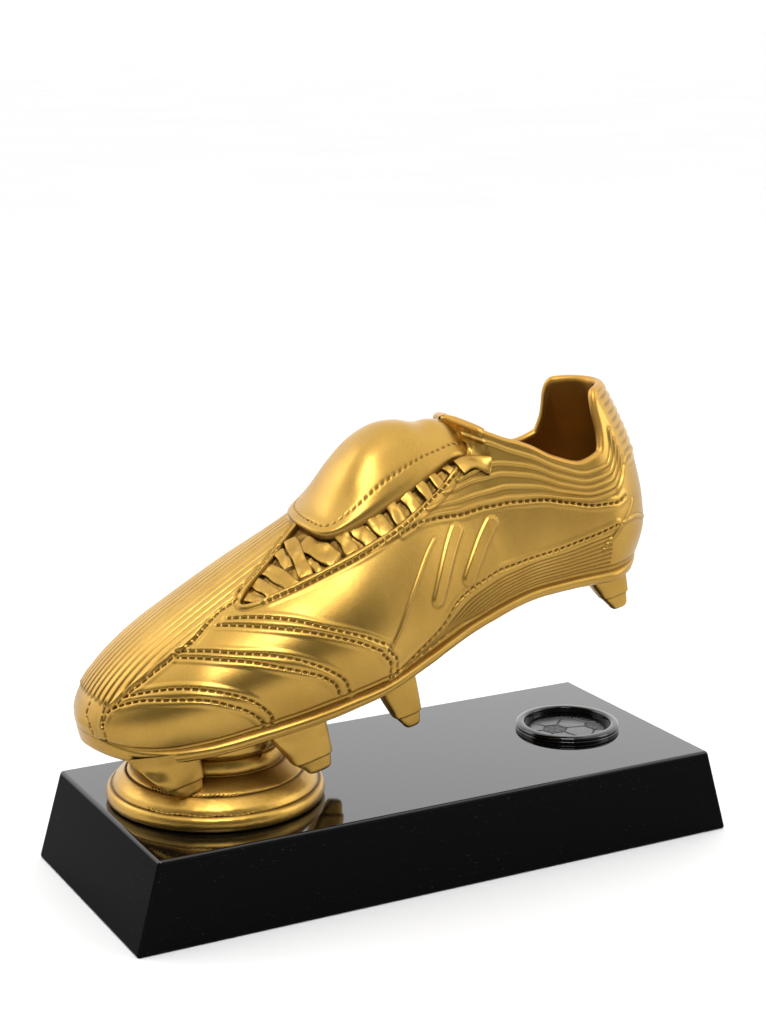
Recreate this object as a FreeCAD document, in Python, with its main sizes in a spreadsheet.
import FreeCAD, Part
import math
import os
import Sketcher
from FreeCAD import Placement, Rotation, Vector

# A football-boot figure trophy: a golden boot on a round stepped plinth, bolted to one end of a
# long gloss-black plastic base that carries a 25 mm emblem at its other end.
# Frame: +X runs along the base from the toe end to the heel end, -Y is the boot's outer (lateral)
# side, +Z is up, and the origin is the centre of the base's underside. Millimetres and degrees.

SIZES = [
    # name, value, what it is
    ("base_length", 180.0, "underside of the base, along X"),
    ("base_width", 73.4, "underside of the base, along Y"),
    ("base_height", 24.3, "underside to top face"),
    ("end_taper", 6.7, "how far each end leans in over the height"),
    ("side_taper", 0.7, "how far each long side leans in over the height"),
    ("base_wall", 3.0, "side walls of the moulded base"),
    ("top_wall", 3.5, "top wall of the moulded base"),
    ("corner_round", 1.6, "upright corners of the base"),
    ("edge_round", 0.6, "top edge of the base"),
    ("fit_gap", 0.3, "clearance round the bottom cover and the weight"),
    ("felt_thick", 0.8, "felt sheet"),
    ("cover_thick", 2.0, "bottom cover"),
    ("boss_radius", 4.0, "screw bosses"),
    ("boss_inset", 12.0, "boss centre from the end and side of the underside"),
    ("screw_radius", 1.4, "cover screw shank"),
    ("screw_length", 11.0, "cover screw"),
    ("screw_head", 2.7, "cover screw head radius"),
    ("hole_gap", 0.06, "radial clearance of a shank in its hole"),
    ("weight_length", 96.0, "steel weight along X"),
    ("weight_width", 44.0, "steel weight along Y"),
    ("weight_thick", 8.0, "steel weight"),
    ("weight_x", 18.0, "centre of the weight"),
    ("emblem_x", 59.3, "centre of the emblem"),
    ("emblem_radius", 12.5, "standard 25 mm emblem"),
    ("ring_width", 2.5, "emblem ring, across its section"),
    ("ring_height", 2.0, "emblem ring above the base"),
    ("disc_thick", 1.2, "emblem disc below its relief"),
    ("relief_height", 0.3, "football relief on the disc"),
    ("ball_radius", 10.6, "football drawn on the disc"),
    ("disc_radius", 11.6, "emblem disc"),
    ("disc_gap", 0.05, "radial clearance of the disc in its seat"),
    ("disc_depth", 0.2, "top of the relief below the base top"),
    ("plinth_x", -52.3, "axis of the plinth and the bolt"),
    ("flange_radius", 29.1, "plinth foot"),
    ("flange_height", 4.4, "plinth foot"),
    ("flange_round", 1.8, "edges of the plinth foot"),
    ("second_radius", 27.0, "second tier at its foot"),
    ("second_top", 24.0, "second tier at its top"),
    ("second_height", 8.0, "top of the second tier"),
    ("third_top", 19.0, "third tier at its top"),
    ("third_height", 11.2, "top of the third tier"),
    ("neck_radius", 17.5, "neck under the sole"),
    ("neck_height", 16.0, "foot of the neck"),
    ("seat_height", 20.9, "sole above the base top, on the plinth axis"),
    ("bolt_radius", 3.0, "M6 bolt"),
    ("bolt_head", 5.8, "bolt head, corner radius"),
    ("bolt_head_thick", 4.0, "bolt head"),
    ("washer_radius", 9.0, "washer"),
    ("washer_thick", 1.6, "washer"),
    ("insert_radius", 4.5, "brass insert"),
    ("insert_length", 11.0, "brass insert, along the bolt"),
    ("insert_depth", 2.0, "insert's lower end above the sole seat"),
    ("boot_length", 173.5, "toe to heel along the sole"),
    ("boot_pitch", 12.5, "heel raised, degrees"),
    ("ball_half_width", 31.5, "half the boot's width at the ball"),
    ("instep_height", 58.0, "sole plane to the top of the instep"),
    ("seat_from_toe", 34.7, "plinth axis from the toe, along the sole"),
    ("sole_edge", 4.2, "thickness of the sole's edge"),
    ("upper_wall", 2.6, "wall of the upper"),
    ("bed_wall", 2.2, "floor under the footbed"),
    ("footbed_thick", 1.6, "footbed"),
    ("lace_recess", 1.6, "depth of the lace opening"),
    ("lace_bed_thick", 0.7, "tongue seen between the laces"),
    ("lace_rise", 0.5, "laces above the surface of the upper"),
    ("flap_gap", 0.1, "flap's underside above the laces"),
    ("flap_thick", 3.0, "folded tongue flap"),
    ("stud_step", 0.6, "ledge between a stud's root and its tip"),
    ("stud_root_depth", 9.0, "root of a forefoot stud below the sole plane"),
    ("stud_tip_depth", 13.6, "tip of a forefoot stud below the sole plane"),
    ("heel_root_depth", 2.6, "root of a heel stud below the sole plane"),
    ("heel_tip_depth", 6.6, "tip of a heel stud below the sole plane"),
]

doc = FreeCAD.newDocument("figure_trophy")
sheet = doc.addObject("Spreadsheet::Sheet", "Sizes")
for row, (name, value, meaning) in enumerate(SIZES, start=1):
    sheet.set(f"A{row}", name)
    sheet.set(f"B{row}", str(value))
    sheet.setAlias(f"B{row}", name)
    sheet.set(f"C{row}", meaning)
doc.recompute()


def size(name):
    return float(sheet.get(name))


def worked_out(expression):
    """The value of an expression over the sheet's names."""
    return float(sheet.evalExpression(expression))


# ---------------------------------------------------------------- sketches and bodies

parts = []          # the objects that become nodes, in order
NAMES = {name for name, _, _ in SIZES}
BASE_TOP = "base_height"
UNDER_TOP = "base_height - top_wall"


def linked(expression):
    """The same expression with every sheet name written as Sizes.name."""
    words = []
    token = ""
    for letter in expression + " ":
        if letter.isalnum() or letter == "_":
            token += letter
        else:
            words.append(f"Sizes.{token}" if token in NAMES else token)
            words.append(letter)
            token = ""
    return "".join(words).strip()


def keep(thing, label):
    thing.Label = label
    parts.append(thing)
    return thing


def new_body(name):
    return doc.addObject("PartDesign::Body", name)


def plane(body, role):
    return next(item for item in body.Origin.OriginFeatures if item.Role == role)


def new_sketch(body, name, role="XY_Plane", lift=None):
    sketch = body.newObject("Sketcher::SketchObject", name)
    sketch.AttachmentSupport = [(plane(body, role), "")]
    sketch.MapMode = "FlatFace"
    if lift:
        sketch.setExpression("AttachmentOffset.Base.z", linked(lift))
    return sketch


def pin_point(sketch, line, end, axis, expression):
    """Hold one coordinate of a line's end at the value of an expression."""
    value = worked_out(expression)
    kind, own_axis = ("DistanceX", -2) if axis == "x" else ("DistanceY", -1)
    if abs(value) < 1e-9:
        sketch.addConstraint(Sketcher.Constraint("PointOnObject", line, end, own_axis))
        return
    if value > 0:
        rule = sketch.addConstraint(Sketcher.Constraint(kind, -1, 1, line, end, value))
        sketch.setExpression(f"Constraints[{rule}]", linked(expression))
    else:
        rule = sketch.addConstraint(Sketcher.Constraint(kind, line, end, -1, 1, -value))
        sketch.setExpression(f"Constraints[{rule}]", linked(f"-({expression})"))


def outline(sketch, corners):
    """A closed outline through corners, each a pair of expressions."""
    spots = [Vector(worked_out(x), worked_out(y), 0) for x, y in corners]
    first = sketch.GeometryCount
    count = len(corners)
    for i in range(count):
        sketch.addGeometry(Part.LineSegment(spots[i], spots[(i + 1) % count]), False)
    for i in range(count):
        following = first + (i + 1) % count
        sketch.addConstraint(Sketcher.Constraint("Coincident", first + i, 2, following, 1))
    for i, (x, y) in enumerate(corners):
        pin_point(sketch, first + i, 1, "x", x)
        pin_point(sketch, first + i, 1, "y", y)
    return sketch


def rectangle(sketch, length, width, x="0", y="0"):
    corners = [(f"{x} {sx} ({length}) / 2", f"{y} {sy} ({width}) / 2")
               for sx, sy in (("-", "-"), ("+", "-"), ("+", "+"), ("-", "+"))]
    return outline(sketch, corners)


def rounded_rectangle(sketch, length, width, radius):
    """A rectangle about the origin with arcs of the given radius at its corners."""
    half_x, half_y = f"({length}) / 2 - ({radius})", f"({width}) / 2 - ({radius})"
    x, y, r = worked_out(half_x), worked_out(half_y), worked_out(radius)
    corners = ((1, 1), (-1, 1), (-1, -1), (1, -1))
    arcs = []
    for quarter, (sx, sy) in enumerate(corners):
        ring = Part.Circle(Vector(sx * x, sy * y, 0), Vector(0, 0, 1), r)
        start = quarter * math.pi / 2
        arcs.append(sketch.addGeometry(Part.ArcOfCircle(ring, start, start + math.pi / 2), False))
    for i in range(4):
        here, following = sketch.Geometry[arcs[i]], sketch.Geometry[arcs[(i + 1) % 4]]
        side = sketch.addGeometry(Part.LineSegment(here.EndPoint, following.StartPoint), False)
        sketch.addConstraint(Sketcher.Constraint("Tangent", arcs[i], 2, side, 1))
        sketch.addConstraint(Sketcher.Constraint("Tangent", side, 2, arcs[(i + 1) % 4], 1))
    for arc, (sx, sy) in zip(arcs, corners):
        rule = sketch.addConstraint(Sketcher.Constraint("Radius", arc, r))
        sketch.setExpression(f"Constraints[{rule}]", linked(radius))
        pin_point(sketch, arc, 3, "x", half_x if sx > 0 else f"-1 * ({half_x})")
        pin_point(sketch, arc, 3, "y", half_y if sy > 0 else f"-1 * ({half_y})")
    return sketch


def circle(sketch, radius, x="0", y="0"):
    centre = Vector(worked_out(x), worked_out(y), 0)
    ring = sketch.addGeometry(Part.Circle(centre, Vector(0, 0, 1), worked_out(radius)), False)
    rule = sketch.addConstraint(Sketcher.Constraint("Radius", ring, worked_out(radius)))
    sketch.setExpression(f"Constraints[{rule}]", linked(radius))
    pin_point(sketch, ring, 3, "x", x)
    pin_point(sketch, ring, 3, "y", y)
    return sketch


def loft(body, name, kind, lower, upper):
    feature = body.newObject(f"PartDesign::{kind}", name)
    feature.Profile = lower
    feature.Sections = [upper]
    feature.Ruled = True
    doc.recompute()
    return feature


def pad(body, name, sketch, length, reverse=False):
    feature = body.newObject("PartDesign::Pad", name)
    feature.Profile = sketch
    feature.Reversed = reverse
    feature.setExpression("Length", linked(length))
    doc.recompute()
    return feature


def pocket(body, name, sketch, length, reverse=False, through=False):
    before = body.Shape.Volume
    feature = body.newObject("PartDesign::Pocket", name)
    feature.Profile = sketch
    feature.Reversed = reverse
    if through:
        feature.Type = "ThroughAll"
        feature.Midplane = True
    else:
        feature.setExpression("Length", linked(length))
    doc.recompute()
    if body.Shape.Volume > before - 1e-6:
        raise RuntimeError(f"{name} cuts nothing")
    return feature


def revolve(body, name, sketch):
    """Turn an outline in the XZ plane once about the body's Z axis."""
    feature = body.newObject("PartDesign::Revolution", name)
    feature.Profile = sketch
    feature.ReferenceAxis = (sketch, ["V_Axis"])
    feature.Angle = 360
    doc.recompute()
    return feature


def round_edges(body, name, base, radius, wanted):
    """Fillet the edges of base that wanted(edge) picks."""
    picked = [f"Edge{i}" for i, edge in enumerate(base.Shape.Edges, start=1) if wanted(edge)]
    if not picked:
        raise RuntimeError(f"{name} finds no edges")
    feature = body.newObject("PartDesign::Fillet", name)
    feature.Base = (base, picked)
    feature.setExpression("Radius", linked(radius))
    doc.recompute()
    return feature


def ring_edge(radius, height):
    """Picks the full circle of this radius at this height."""
    def wanted(edge):
        curve = edge.Curve
        if not isinstance(curve, Part.Circle):
            return False
        return (abs(curve.Radius - worked_out(radius)) < 0.01
                and abs(curve.Center.z - worked_out(height)) < 0.01)
    return wanted


# ---------------------------------------------------------------- the base

def base_shell():
    body = new_body("base_shell_body")
    share = "(base_height - edge_round) / base_height"
    foot = rounded_rectangle(new_sketch(body, "base_foot"), "base_length", "base_width", "corner_round")
    long_side = f"base_length - 2 * end_taper * {share}"
    short_side = f"base_width - 2 * side_taper * {share}"
    shoulder = rounded_rectangle(new_sketch(body, "base_shoulder", lift="base_height - edge_round"),
                                 long_side, short_side, "corner_round")
    top = rounded_rectangle(new_sketch(body, "base_top", lift="base_height"),
                            f"{long_side} - 2 * edge_round", f"{short_side} - 2 * edge_round",
                            "corner_round - edge_round / 2")
    loft(body, "base_block", "AdditiveLoft", foot, shoulder)
    loft(body, "base_edge", "AdditiveLoft", shoulder, top)

    ceiling = UNDER_TOP
    share = f"({ceiling}) / base_height"
    inner_foot = rectangle(new_sketch(body, "hollow_foot"),
                           "base_length - 2 * base_wall", "base_width - 2 * base_wall")
    inner_top = rectangle(new_sketch(body, "hollow_top", lift=ceiling),
                          f"base_length - 2 * base_wall - 2 * end_taper * {share}",
                          f"base_width - 2 * base_wall - 2 * side_taper * {share}")
    loft(body, "hollow", "SubtractiveLoft", inner_foot, inner_top)

    bosses = new_sketch(body, "boss_rings", lift=ceiling)
    pilots = new_sketch(body, "boss_pilots", lift="felt_thick + cover_thick")
    for x, y in screw_places():
        circle(bosses, "boss_radius", x, y)
        circle(pilots, "screw_radius + hole_gap", x, y)
    pad(body, "bosses", bosses, f"{ceiling} - felt_thick - cover_thick", reverse=True)
    pocket(body, "pilot_holes", pilots, "screw_length", reverse=True)

    seat = circle(new_sketch(body, "disc_seat", lift=BASE_TOP),
                  "disc_radius + disc_gap", "emblem_x", "0")
    pocket(body, "disc_pocket", seat, "disc_thick + relief_height + disc_depth")
    bolt_hole = circle(new_sketch(body, "bolt_ring", lift=BASE_TOP),
                       "bolt_radius + hole_gap", "plinth_x", "0")
    pocket(body, "bolt_hole", bolt_hole, "top_wall + 1")
    return keep(body, "base_shell")


def screw_places():
    x = "base_length / 2 - boss_inset"
    y = "base_width / 2 - boss_inset"
    return [(f"{sx} ({x})", f"{sy} ({y})") for sx in ("0 -", "0 +") for sy in ("0 -", "0 +")]


def base_cover():
    body = new_body("base_cover_body")
    top = "felt_thick + cover_thick"
    share = f"({top}) / base_height"
    slab = rectangle(new_sketch(body, "cover_outline", lift="felt_thick"),
                     f"base_length - 2 * base_wall - 2 * end_taper * {share} - 2 * fit_gap",
                     f"base_width - 2 * base_wall - 2 * side_taper * {share} - 2 * fit_gap")
    pad(body, "cover_slab", slab, "cover_thick")
    heads = new_sketch(body, "head_recesses", lift="felt_thick")
    shanks = new_sketch(body, "shank_holes", lift="felt_thick")
    for x, y in screw_places():
        circle(heads, "screw_head + hole_gap", x, y)
        circle(shanks, "screw_radius + hole_gap", x, y)
    pocket(body, "head_seats", heads, "cover_thick / 2", reverse=True)
    pocket(body, "shank_passages", shanks, "cover_thick", reverse=True)
    return keep(body, "base_cover")


def base_felt():
    body = new_body("base_felt_body")
    share = "felt_thick / base_height"
    slab = rectangle(new_sketch(body, "felt_outline"),
                     f"base_length - 2 * base_wall - 2 * end_taper * {share} - 2 * fit_gap",
                     f"base_width - 2 * base_wall - 2 * side_taper * {share} - 2 * fit_gap")
    pad(body, "felt_sheet", slab, "felt_thick")
    return keep(body, "base_felt")


def base_weight():
    body = new_body("base_weight_body")
    slab = rectangle(new_sketch(body, "weight_outline", lift="felt_thick + cover_thick"),
                     "weight_length", "weight_width", "weight_x")
    block = pad(body, "weight_slab", slab, "weight_thick")

    def corner(edge):
        return abs(edge.Vertexes[0].Z - edge.Vertexes[-1].Z) > 1
    round_edges(body, "weight_corners", block, "base_wall", corner)
    return keep(body, "base_weight")


def cover_screws():
    """Four self-tapping screws, as one group of separate solids."""
    solids = []
    for number, (x, y) in enumerate(screw_places(), start=1):
        shank = doc.addObject("Part::Cylinder", f"screw_shank_{number}")
        shank.setExpression("Radius", linked("screw_radius"))
        shank.setExpression("Height", linked("screw_length - cover_thick / 2"))
        head = doc.addObject("Part::Cylinder", f"screw_head_{number}")
        head.setExpression("Radius", linked("screw_head"))
        head.setExpression("Height", linked("cover_thick / 2"))
        for piece, z in ((shank, "felt_thick + cover_thick / 2"), (head, "felt_thick")):
            piece.setExpression("Placement.Base.x", linked(x))
            piece.setExpression("Placement.Base.y", linked(y))
            piece.setExpression("Placement.Base.z", linked(z))
        screw = doc.addObject("Part::Fuse", f"cover_screw_{number}")
        screw.Base = shank
        screw.Tool = head
        solids.append(screw)
    group = doc.addObject("Part::Compound", "cover_screw_group")
    group.Links = solids
    doc.recompute()
    return keep(group, "cover_screws")


# ---------------------------------------------------------------- the emblem

def emblem_ring():
    body = new_body("emblem_ring_body")
    top = "base_height + ring_height"
    inner = "emblem_radius"
    outer = "emblem_radius + ring_width"
    section = outline(new_sketch(body, "ring_section", "XZ_Plane"),
                      [(inner, BASE_TOP), (outer, BASE_TOP), (outer, top), (inner, top)])
    ring = revolve(body, "ring_turned", section)
    soft = round_edges(body, "ring_outer_round", ring, "ring_width / 2.6", ring_edge(outer, top))
    round_edges(body, "ring_inner_round", soft, "ring_width / 8", ring_edge(inner, top))
    body.setExpression("Placement.Base.x", linked("emblem_x"))
    return keep(body, "emblem_ring")


def emblem_disc():
    """A thin disc with a football in relief: a middle patch, five outer patches and the seams."""
    body = new_body("emblem_disc_body")
    floor = "base_height - disc_depth - relief_height - disc_thick"
    plate = circle(new_sketch(body, "disc_outline", lift=floor), "disc_radius")
    pad(body, "disc_plate", plate, "disc_thick")
    relief = new_sketch(body, "ball_relief", lift="base_height - disc_depth - relief_height")
    sides = 5
    middle, inner, outer, half_seam = 0.30, 0.66, 0.94, 0.022

    def spot(share, turns):
        angle = 2 * math.pi * turns + math.pi / 2
        return (f"{share * math.cos(angle):.5f} * ball_radius",
                f"{share * math.sin(angle):.5f} * ball_radius")
    outline(relief, [spot(middle, i / sides) for i in range(sides)])
    for i in range(sides):
        turns = i / sides
        spread = 0.075
        outline(relief, [spot(inner, turns), spot(outer - 0.08, turns + spread * 0.9),
                         spot(outer, turns + spread / 2), spot(outer, turns - spread / 2),
                         spot(outer - 0.08, turns - spread * 0.9)])
        width = half_seam / (2 * math.pi)
        outline(relief, [spot(middle + 0.03, turns - width * 2.8), spot(inner - 0.02, turns - width * 1.4),
                         spot(inner - 0.02, turns + width * 1.4), spot(middle + 0.03, turns + width * 2.8)])
    pad(body, "ball_patches", relief, "relief_height")
    body.setExpression("Placement.Base.x", linked("emblem_x"))
    return keep(body, "emblem_disc")


# ---------------------------------------------------------------- plinth, bolt, washer, insert

def figure_plinth():
    """Stepped round plinth. Its top is cut to the slope of the sole that stands on it."""
    body = new_body("figure_plinth_body")
    tall = "base_height + seat_height + neck_radius"
    bore = "bolt_radius + hole_gap"
    section = outline(new_sketch(body, "plinth_section", "XZ_Plane"), [
        (bore, BASE_TOP),
        ("flange_radius", BASE_TOP),
        ("flange_radius", "base_height + flange_height"),
        ("second_radius", "base_height + flange_height"),
        ("second_top", "base_height + second_height"),
        ("third_top", "base_height + third_height"),
        ("neck_radius", "base_height + neck_height"),
        ("neck_radius", tall),
        (bore, tall)])
    turned = revolve(body, "plinth_turned", section)
    foot = round_edges(body, "plinth_foot_round", turned, "flange_round",
                       ring_edge("flange_radius", "base_height + flange_height"))
    round_edges(body, "plinth_under_round", foot, "flange_round / 2", ring_edge("flange_radius", BASE_TOP))
    slope = "tan(boot_pitch)"
    low = f"base_height + seat_height - neck_radius * 1.2 * {slope}"
    high = f"base_height + seat_height + neck_radius * 1.2 * {slope}"
    wedge = outline(new_sketch(body, "sole_slope", "XZ_Plane"), [
        ("-1.2 * neck_radius", low), ("1.2 * neck_radius", high),
        ("1.2 * neck_radius", f"{tall} + 1"), ("-1.2 * neck_radius", f"{tall} + 1")])
    pocket(body, "slope_cut", wedge, "", through=True)
    body.setExpression("Placement.Base.x", linked("plinth_x"))
    return keep(body, "figure_plinth")


def bolt_washer():
    body = new_body("bolt_washer_body")
    rings = new_sketch(body, "washer_rings", lift=UNDER_TOP)
    circle(rings, "washer_radius", "plinth_x")
    circle(rings, "bolt_radius + hole_gap", "plinth_x")
    pad(body, "washer_disc", rings, "washer_thick", reverse=True)
    return keep(body, "bolt_washer")


def figure_bolt():
    """Hexagon-head bolt from inside the base up through the plinth into the boot."""
    body = new_body("figure_bolt_body")
    seat = f"{UNDER_TOP} - washer_thick"
    hexagon = new_sketch(body, "bolt_hexagon", lift=seat)
    outline(hexagon, [(f"plinth_x + bolt_head * {math.cos(math.radians(60 * i)):.5f}",
                       f"bolt_head * {math.sin(math.radians(60 * i)):.5f}") for i in range(6)])
    pad(body, "bolt_head_block", hexagon, "bolt_head_thick", reverse=True)
    shank = circle(new_sketch(body, "bolt_shank_ring", lift=seat), "bolt_radius", "plinth_x")
    pad(body, "bolt_shank", shank,
        "top_wall + washer_thick + seat_height + insert_depth + insert_length - 1")
    return keep(body, "figure_bolt")


def threaded_insert():
    body = new_body("threaded_insert_body")
    rings = new_sketch(body, "insert_rings", lift="base_height + seat_height + insert_depth")
    circle(rings, "insert_radius", "plinth_x")
    circle(rings, "bolt_radius + hole_gap", "plinth_x")
    pad(body, "insert_sleeve", rings, "insert_length")
    return keep(body, "threaded_insert")


# ---------------------------------------------------------------- the boot's surface

def curve(*knots):
    """A smooth line through (share of length, value) knots that never overshoots between them."""
    xs = [x for x, _ in knots]
    ys = [y for _, y in knots]
    steps = [(ys[i + 1] - ys[i]) / (xs[i + 1] - xs[i]) for i in range(len(xs) - 1)]
    slopes = [steps[0]]
    for left, right in zip(steps, steps[1:]):
        slopes.append(0.0 if left * right <= 0 else 2 * left * right / (left + right))
    slopes.append(steps[-1])

    def value(x):
        x = min(max(x, xs[0]), xs[-1])
        i = max(k for k in range(len(xs) - 1) if xs[k] <= x)
        span = xs[i + 1] - xs[i]
        u = (x - xs[i]) / span
        return (ys[i] * (1 + 2 * u) * (1 - u) ** 2 + ys[i + 1] * u * u * (3 - 2 * u)
                + span * (slopes[i] * u * (1 - u) ** 2 - slopes[i + 1] * u * u * (1 - u)))
    return value


def ease(low, high, x):
    u = min(max((x - low) / (high - low), 0.0), 1.0)
    return u * u * (3 - 2 * u)


def round_end(distance, reach):
    """Half-ellipse that rises from 0 at an end to 1 at reach from it."""
    return math.sqrt(max(0.0, 1 - (1 - min(max(distance / reach, 0.0), 1.0)) ** 2))


# Shares of the half width at the ball, of the instep height or millimetres, along the sole.
WIDTH_SHARE = curve((0, .81), (.1, .857), (.2, .937), (.3, 1), (.4, .984), (.5, .905),
                    (.6, .794), (.7, .73), (.8, .698), (.9, .683), (1, .667))
CREST_SHARE = curve((0, .21), (.02, .293), (.05, .371), (.1, .457), (.15, .521), (.2, .574),
                    (.3, .672), (.4, .765), (.5, .87), (.6, .95), (.7, .96), (.8, .95), (1, .95))
TOPLINE_SHARE = curve((.60, 1.06), (.66, 1.0), (.70, .966), (.735, .9), (.772, .833), (.81, .745),
                      (.863, .674), (.9, .69), (.92, .767), (.94, .914), (.955, .957), (1.05, .914))
SOLE_LIFT = curve((0, 5.6), (.02, 3.6), (.05, 1.8), (.1, .6), (.2, .3), (.3, .3), (.4, 1.0), (.5, 3.5),
                  (.6, 6), (.7, 7), (.8, 5), (.9, 2.5), (1, 1.5))
EDGE_SHARE = curve((0, .97), (.3, .95), (.5, .76), (1, .83))
CENTRE_SHIFT = curve((0, 4), (.1, 3), (.2, 2), (.3, 1), (.45, -.5), (.6, -.5), (.75, 0), (1, 0))
RIM_HALF_WIDTH = curve((.5, 6), (.6, 8), (.7, 11), (.8, 12.5), (.88, 12.5), (.93, 11.5), (1, 10))
HEEL_CURVE = curve((-6, 10), (0, 8.5), (2, 7.5), (8, 3.5), (14, 1), (24, 0), (35, .5), (45, 2.5),
                   (54, 5), (64, 6.5))
TOE_REACH, HEEL_REACH = 0.17, 0.12
FEATHER_SHARE = 0.93        # half width where the upper meets the sole, as a share of the widest
SIDE_STEPS = (0, .11, .22, .38, .54, .70, .84, .94)
BULGE_STEP = 0.22           # the step at which the side is widest
STATIONS = (0, .006, .024, .055, .1, .16, .23, .31, .4, .5, .6, .68, .76, .83, .89, .935, .97, .993, 1)
COLLAR_HEIGHT = 60.0        # height at which the collar's half width is RIM_HALF_WIDTH


def crest(share):
    return size("instep_height") * CREST_SHARE(share)


def blank_top(share):
    """Top of the boot before its mouth is cut: the crest, raised behind it to clear the collar."""
    return crest(share) + 0.15 * size("instep_height") * ease(.62, .76, share)


def half_width(share):
    return (size("ball_half_width") * WIDTH_SHARE(share)
            * round_end(share, TOE_REACH) * round_end(1 - share, HEEL_REACH))


def feather(share):
    """Height of the line where the upper meets the sole's edge."""
    return SOLE_LIFT(share) + size("sole_edge") * EDGE_SHARE(share)


def collar_share(share):
    """0 where the section is a rounded vamp, 1 where it is an open collar."""
    return ease(.52, .70, share)


def side_rows(share, widest, foot, top, rim):
    """One side's outline, from its foot to the middle of its top, as (half width, height) pairs."""
    collar = collar_share(share)
    bulge = foot + 0.30 * (min(top * (1 - collar) + 38 * collar, 40) - foot)
    rim = min(rim, widest * .62)
    rows = []
    for step in SIDE_STEPS:
        if step <= BULGE_STEP:
            up = step / BULGE_STEP
            rows.append((widest * (FEATHER_SHARE + (1 - FEATHER_SHARE) * math.sin(up * math.pi / 2)),
                         foot + (bulge - foot) * up))
            continue
        up = (step - BULGE_STEP) / (1 - BULGE_STEP)
        vamp = (widest * math.cos(up * math.pi / 2),
                bulge + (top - bulge) * math.sin(up * math.pi / 2) ** 1.05)
        rise = bulge + (top - bulge) * up
        lean = min(max((rise - bulge) / (COLLAR_HEIGHT - bulge), 0), 1.15) ** 1.5
        wall = (widest - (widest - rim) * lean, rise)
        rows.append(tuple(v * (1 - collar) + w * collar for v, w in zip(vamp, wall)))
    rows.append((0.0, top + 2 * collar))
    return rows


def place_row(share, width, height, side):
    """A point in the boot's own frame: along the sole from the toe, across, and up."""
    along = share * size("boot_length") - HEEL_CURVE(height) * ease(.75, 1, share)
    middle = CENTRE_SHIFT(share) * (1 - 0.5 * ease(10, 60, height))
    return Vector(along, middle + side * width, height)


def spline_poles(points, places):
    line = Part.BSplineCurve()
    line.interpolate(Points=points, Parameters=places)
    return line


def skin(grid, rows_at, stations_at):
    """The B-spline surface through a grid of points, the same along shared borders."""
    across = [spline_poles(row, rows_at) for row in grid]
    columns = list(zip(*[line.getPoles() for line in across]))
    along = [spline_poles(list(column), stations_at) for column in columns]
    surface = Part.BSplineSurface()
    poles = [list(row) for row in zip(*[line.getPoles() for line in along])]
    surface.buildFromPolesMultsKnots(
        poles, along[0].getMultiplicities(), across[0].getMultiplicities(),
        along[0].getKnots(), across[0].getKnots(), False, False,
        along[0].Degree, across[0].Degree)
    return surface


def spaced(grid):
    """Parameters spaced like the points of a grid's middle row."""
    row = grid[len(grid) // 2]
    total = [0.0]
    for a, b in zip(row, row[1:]):
        total.append(total[-1] + max(a.distanceToPoint(b), 1e-3) ** 0.7)
    return [value / total[-1] for value in total]


def skin_solid(rows_of, stations, ends_meet=True):
    """The solid between a left and a right surface, closed below and, where needed, at its ends."""
    grids = {}
    for side in (-1, 1):
        grids[side] = [[place_row(share, width, height, side) for width, height in rows_of(share)]
                       for share in stations]
    rows_at = spaced(grids[-1])
    stations_at = spaced([list(column) for column in zip(*grids[-1])])
    faces = []
    borders = {}
    for side in (-1, 1):
        surface = skin(grids[side], rows_at, stations_at)
        faces.append(surface.toShape())
        first, last, low, high = surface.bounds()
        borders[side] = {"foot": surface.vIso(low).toShape(), "top": surface.vIso(high).toShape(),
                         "toe": surface.uIso(first).toShape(), "heel": surface.uIso(last).toShape()}
    faces.append(Part.makeRuledSurface(borders[-1]["foot"], borders[1]["foot"]))
    middle = len(stations) // 2
    if grids[-1][middle][-1].distanceToPoint(grids[1][middle][-1]) > 1e-6:
        faces.append(Part.makeRuledSurface(borders[-1]["top"], borders[1]["top"]))
    if not ends_meet:
        for end in ("toe", "heel"):
            faces.append(Part.makeRuledSurface(borders[-1][end], borders[1][end]))
    shell = Part.Shell(faces)
    shell.sewShape()
    solid = Part.Solid(shell)
    if solid.Volume < 0:
        solid.reverse()
    return solid


# ---------------------------------------------------------------- the boot's pieces

def boot_placement():
    """Stands the sole on the plinth, pitched heel up about the seat point."""
    pitch = math.radians(size("boot_pitch"))
    reach = size("seat_from_toe")
    return Placement(
        Vector(size("plinth_x") - reach * math.cos(pitch), 0,
               size("base_height") + size("seat_height") - reach * math.sin(pitch)),
        Rotation(Vector(0, 1, 0), -size("boot_pitch")))


def moulded(label, shape):
    """A free-form piece of the boot, made in the boot's frame and then stood on the plinth."""
    thing = doc.addObject("Part::Feature", f"{label}_shape")
    thing.Shape = shape
    thing.Placement = boot_placement()
    return keep(thing, label)


def grown(amount, first=.20, last=.745):
    """The vamp's solid with its surface moved out by amount, between two shares of the length."""
    def rows(share):
        return side_rows(share, half_width(share) + amount, feather(share),
                         crest(share) + amount,
                         RIM_HALF_WIDTH(share) + amount)
    middle = [share for share in STATIONS if first + .02 < share < last - .02]
    return skin_solid(rows, [first] + middle + [last], ends_meet=False)


def prism_foot():
    """Height inside the vamp at which prisms that trim its surface start."""
    return 0.31 * size("instep_height")


def upright_prism(points):
    """A tall prism over a smooth closed outline of (share of length, across) points."""
    spots = [Vector(share * size("boot_length"), across, prism_foot()) for share, across in points]
    line = Part.BSplineCurve()
    line.interpolate(spots, PeriodicFlag=True)
    return Part.Face(Part.Wire(line.toShape())).extrude(Vector(0, 0, 2 * size("instep_height")))


def layer(low, high, region):
    """The part of a region that lies between two distances from the vamp's surface."""
    return high.common(region).cut(low)


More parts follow.
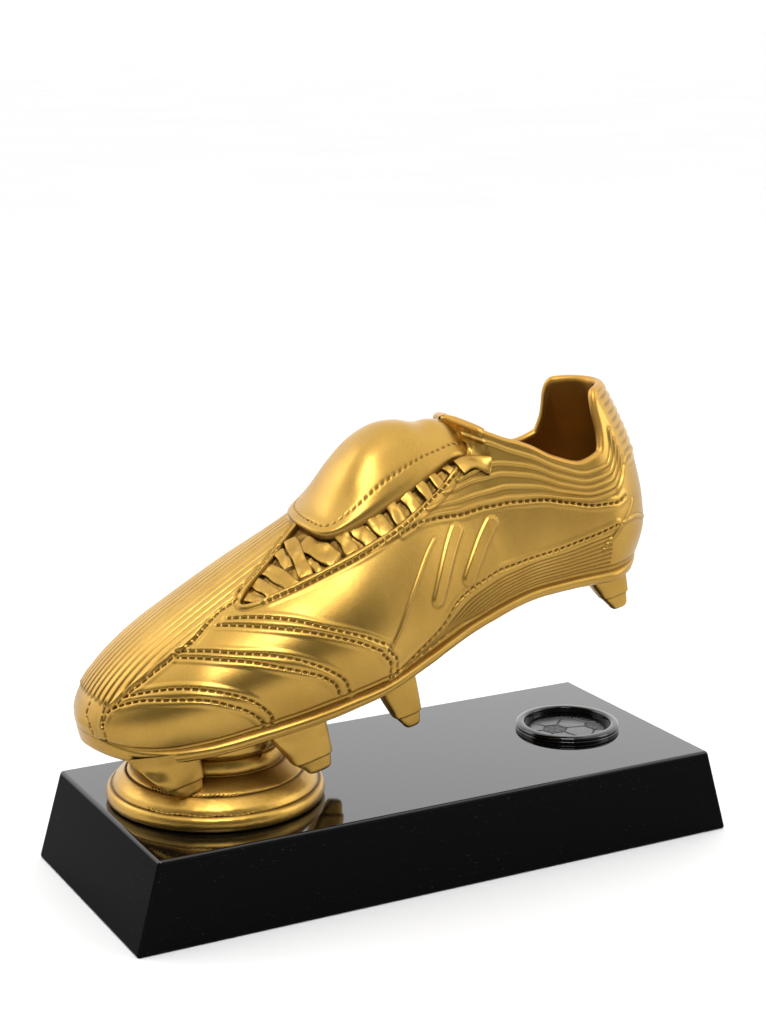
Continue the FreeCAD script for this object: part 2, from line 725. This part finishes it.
def side_prism(line, lid):
    """Everything between a side-view line of (share, height) points and the height of the lid."""
    spots = [Vector(share * size("boot_length"), -60, height) for share, height in line]
    curve_edge = Part.BSplineCurve()
    curve_edge.interpolate(spots)
    first, last = spots[0], spots[-1]
    corners = [last, Vector(last.x, -60, lid), Vector(first.x, -60, lid), first]
    edges = [curve_edge.toShape()]
    edges += [Part.LineSegment(a, b).toShape() for a, b in zip(corners, corners[1:])]
    return Part.Face(Part.Wire(edges)).extrude(Vector(0, 120, 0))


CAVITY_START, CAVITY_END = .44, .984        # shares of the length
CAVITY_TOE_REACH, CAVITY_HEEL_REACH = .08, .105


def cavity_floor(share):
    return feather(share) + size("bed_wall")


def cavity():
    """The hollow that a foot would fill, from under the tongue to the heel."""
    def rows(share):
        wall = size("upper_wall")
        full = size("ball_half_width") * WIDTH_SHARE(share) - wall
        widest = (full * round_end(share - CAVITY_START, CAVITY_TOE_REACH)
                  * round_end(CAVITY_END - share, CAVITY_HEEL_REACH))
        under = crest(share) - 1.6 * wall
        ceiling = under + (blank_top(share) + 4 - under) * ease(.66, .73, share)
        return side_rows(share, widest, cavity_floor(share), ceiling, RIM_HALF_WIDTH(share) - wall)
    stations = [CAVITY_START, .446, .465, .5, .56, .62, .68, .73, .78, .83, .88, .92, .95, .973, CAVITY_END]
    return skin_solid(rows, stations)


# The lace opening and the tongue flap in plan: (share of length, millimetres across).
LACE_OPENING = [(.255, -13.5), (.30, -15.5), (.36, -17.5), (.44, -19.3), (.52, -18.8), (.60, -15.5),
                (.66, -12), (.685, -8), (.64, -3), (.54, 1), (.46, 1), (.40, -2), (.33, -8), (.27, -12)]
FLAP_OUTLINE = [(.398, -5), (.405, -10.5), (.44, -14), (.50, -15), (.58, -13.5), (.64, -11), (.686, -8.5),
                (.704, 0), (.686, 8.5), (.62, 12), (.54, 14), (.46, 13), (.415, 7), (.402, 1)]


def boot_upper():
    blank = skin_solid(lambda share: side_rows(
        share, half_width(share), feather(share), blank_top(share), RIM_HALF_WIDTH(share)), STATIONS)
    tall = size("instep_height")
    topline = [(share, TOPLINE_SHARE(share) * tall)
               for share in (.60, .66, .70, .735, .772, .81, .84, .863, .885, .905, .92, .94, .96, .985, 1.05)]
    shape = blank.cut(side_prism(topline, 2 * tall)).cut(cavity())
    recess = layer(grown(-size("lace_recess")), grown(4), upright_prism(LACE_OPENING))
    pocket_for_insert = Part.makeCylinder(
        size("insert_radius") + size("hole_gap"), size("insert_length"),
        Vector(size("plinth_x"), 0, size("base_height") + size("seat_height") + size("insert_depth")))
    passage = Part.makeCylinder(
        size("bolt_radius") + size("hole_gap"), size("insert_length") + size("insert_depth") + 2,
        Vector(size("plinth_x"), 0, size("base_height") + size("seat_height") - 2))
    fitting = pocket_for_insert.fuse(passage)
    fitting.Placement = boot_placement().inverse()
    return moulded("boot_upper", shape.cut(recess).cut(fitting)), fitting


def boot_outsole(fitting):
    def rows(share):
        widest = half_width(share)
        low, high = SOLE_LIFT(share), feather(share)
        return [(.80 * widest, low), (.91 * widest, low + .12 * (high - low)),
                (.972 * widest, low + .45 * (high - low)), (.978 * widest, low + .72 * (high - low)),
                (.955 * widest, high)]
    return moulded("boot_outsole", skin_solid(rows, STATIONS).cut(fitting))


def footbed():
    floor = [(share, cavity_floor(share) + size("footbed_thick"))
             for share in (.40, .46, .52, .58, .64, .70, .76, .82, .88, .94, 1.0)]
    sheet_of_foam = cavity().cut(side_prism(floor, 2 * size("instep_height")))
    return moulded("footbed", sheet_of_foam)


# Laces: share of the length at the outer end and at the inner end, and half width in millimetres.
LACES = [(.275, .305, 1.6), (.315, .345, 2.0), (.352, .335, 2.2), (.40, .44, 3.0), (.455, .47, 2.4),
         (.50, .52, 2.4), (.545, .56, 2.2), (.585, .60, 1.8), (.62, .63, 1.4)]
LACE_ENDS = (-24, 4)        # millimetres across, beyond both sides of the opening


def tongue_bed():
    """The tongue seen between the laces, on the floor of the lace opening."""
    floor = -size("lace_recess")
    bed = layer(grown(floor), grown(floor + size("lace_bed_thick")), upright_prism(LACE_OPENING))
    return moulded("tongue_bed", bed)


def lace_straps():
    """Flat laces across the opening, as one group of separate solids."""
    low = grown(size("lace_bed_thick") - size("lace_recess"))
    high = grown(size("lace_rise"))
    opening = upright_prism(LACE_OPENING)
    solids = []
    for outer_share, inner_share, half in LACES:
        side = Vector(half, 0, 0)
        ends = [Vector(share * size("boot_length"), across, prism_foot())
                for share, across in zip((outer_share, inner_share), LACE_ENDS)]
        corners = [ends[0] - side, ends[0] + side, ends[1] + side, ends[1] - side, ends[0] - side]
        strip = Part.Face(Part.makePolygon(corners)).extrude(Vector(0, 0, 2 * size("instep_height")))
        strap = layer(low, high, opening.common(strip))
        for earlier in solids:
            strap = strap.cut(earlier)
        solids += [piece for piece in strap.Solids if piece.Volume > 1]
    return moulded("lace_straps", Part.Compound(solids))


def tongue_flap():
    """The tongue folded forward over the laces, standing proud of the instep."""
    low = size("lace_rise") + size("flap_gap")
    return moulded("tongue_flap", layer(grown(low), grown(low + size("flap_thick")),
                                        upright_prism(FLAP_OUTLINE)))


# The tab in side view: (share of length, share of the instep height).
TAB_OUTLINE = [(.662, .885), (.690, .90), (.703, .855), (.698, .80), (.687, .785), (.668, .84)]
TAB_THICK = 1.2


def lace_tab():
    """Flat end of the lace tucked out from under the flap, on the outer side of the collar."""
    low = size("flap_gap")
    corners = [Vector(share * size("boot_length"), -size("ball_half_width"), high * size("instep_height"))
               for share, high in TAB_OUTLINE]
    face = Part.Face(Part.makePolygon(corners + corners[:1]))
    region = face.extrude(Vector(0, 0.8 * size("ball_half_width"), 0))
    return moulded("lace_tab", layer(grown(low, last=.78), grown(low + TAB_THICK, last=.78), region))


# ---------------------------------------------------------------- studs

# place, share of length, millimetres from the middle to the stud's outer face at its root,
# root length along the boot, and whether it is a heel stud
STUDS = [("front", .095, 20.5, 15.5, False), ("ball", .283, 27.5, 16.5, False),
         ("waist", .452, 26.0, 12.5, False), ("heel", .886, 17.0, 9.5, True)]
STUD_DEPTH_INWARD = 8.5


def stud(place, side_name, side, share, outer_face, root_length, is_heel, tools):
    """A tapered blade with a ledge between its root and its tip, trimmed to what it grows from."""
    name = f"stud_{place}_{side_name}"
    body = new_body(f"{name}_body")
    ledge = "-heel_root_depth" if is_heel else "-stud_root_depth"
    tip = "-heel_tip_depth" if is_heel else "-stud_tip_depth"
    lift = f"{SOLE_LIFT(share) + 1.5:.3f}"
    inner = outer_face - STUD_DEPTH_INWARD
    lean = 0.22 * root_length

    def section(label, level, front, rear, near, far):
        middle = (near + far) / 2
        return rectangle(new_sketch(body, f"{name}_{label}", lift=level), f"{rear - front:.3f}",
                         f"{far - near:.3f}", f"{(front + rear) / 2:.3f}", f"{side * middle:.3f}")
    half = root_length / 2
    front_at_ledge, rear_at_ledge = -half + lean, half - 0.5
    root = section("root", lift, -half, half, inner, outer_face)
    shoulder = section("shoulder", ledge, front_at_ledge, rear_at_ledge, inner + 3, outer_face - .8)
    block = loft(body, f"{name}_root_block", "AdditiveLoft", root, shoulder)
    step = size("stud_step")
    tip_top = section("tip_top", ledge, front_at_ledge + step, rear_at_ledge - step,
                      inner + 3 + step, outer_face - .8 - step)
    tip_end = section("tip_end", tip, front_at_ledge + lean, rear_at_ledge - 1.6,
                      inner + 4.2, outer_face - 1.9)
    block = loft(body, f"{name}_tip_block", "AdditiveLoft", tip_top, tip_end)
    body.Placement = Placement(boot_placement().multVec(Vector(share * size("boot_length"), 0, 0)),
                               boot_placement().Rotation)
    doc.recompute()
    trimmed = body
    for number, tool in enumerate(tools, start=1):
        cut = doc.addObject("Part::Cut", f"{name}_trim_{number}")
        cut.Base = trimmed
        cut.Tool = tool
        trimmed = cut
    doc.recompute()
    return keep(trimmed, name)


def studs(outsole, plinth):
    for place, share, outer_face, root_length, is_heel in STUDS:
        tools = [outsole] if is_heel else [outsole, plinth]
        for side_name, side in (("lateral", -1), ("medial", 1)):
            stud(place, side_name, side, share, outer_face, root_length, is_heel, tools)


# ---------------------------------------------------------------- build, check, write

base_shell()
base_weight()
base_cover()
base_felt()
cover_screws()
emblem_ring()
emblem_disc()
plinth_part = figure_plinth()
bolt_washer()
figure_bolt()
threaded_insert()
_, insert_fitting = boot_upper()
outsole_part = boot_outsole(insert_fitting)
footbed()
tongue_bed()
lace_straps()
tongue_flap()
lace_tab()
studs(outsole_part, plinth_part)
doc.recompute()

for item in doc.Objects:
    if "Invalid" in item.State or "Error" in item.State:
        raise RuntimeError(f"{item.Name} failed: {item.State}")

os.makedirs("parts", exist_ok=True)
for item in parts:
    shape = item.Shape
    if shape.isNull() or not shape.isValid() or not shape.Solids:
        raise RuntimeError(f"{item.Label} is not a valid solid")
    shape.exportStep(f"parts/{item.Label}.step")
    box = shape.optimalBoundingBox(False)
    print(f"{item.Label:22s} {len(shape.Solids)} solid(s) {shape.Volume:10.1f} mm3"
          f"  x {box.XMin:7.2f} {box.XMax:7.2f}  y {box.YMin:7.2f} {box.YMax:7.2f}"
          f"  z {box.ZMin:7.2f} {box.ZMax:7.2f}")
print(f"{len(parts)} nodes")
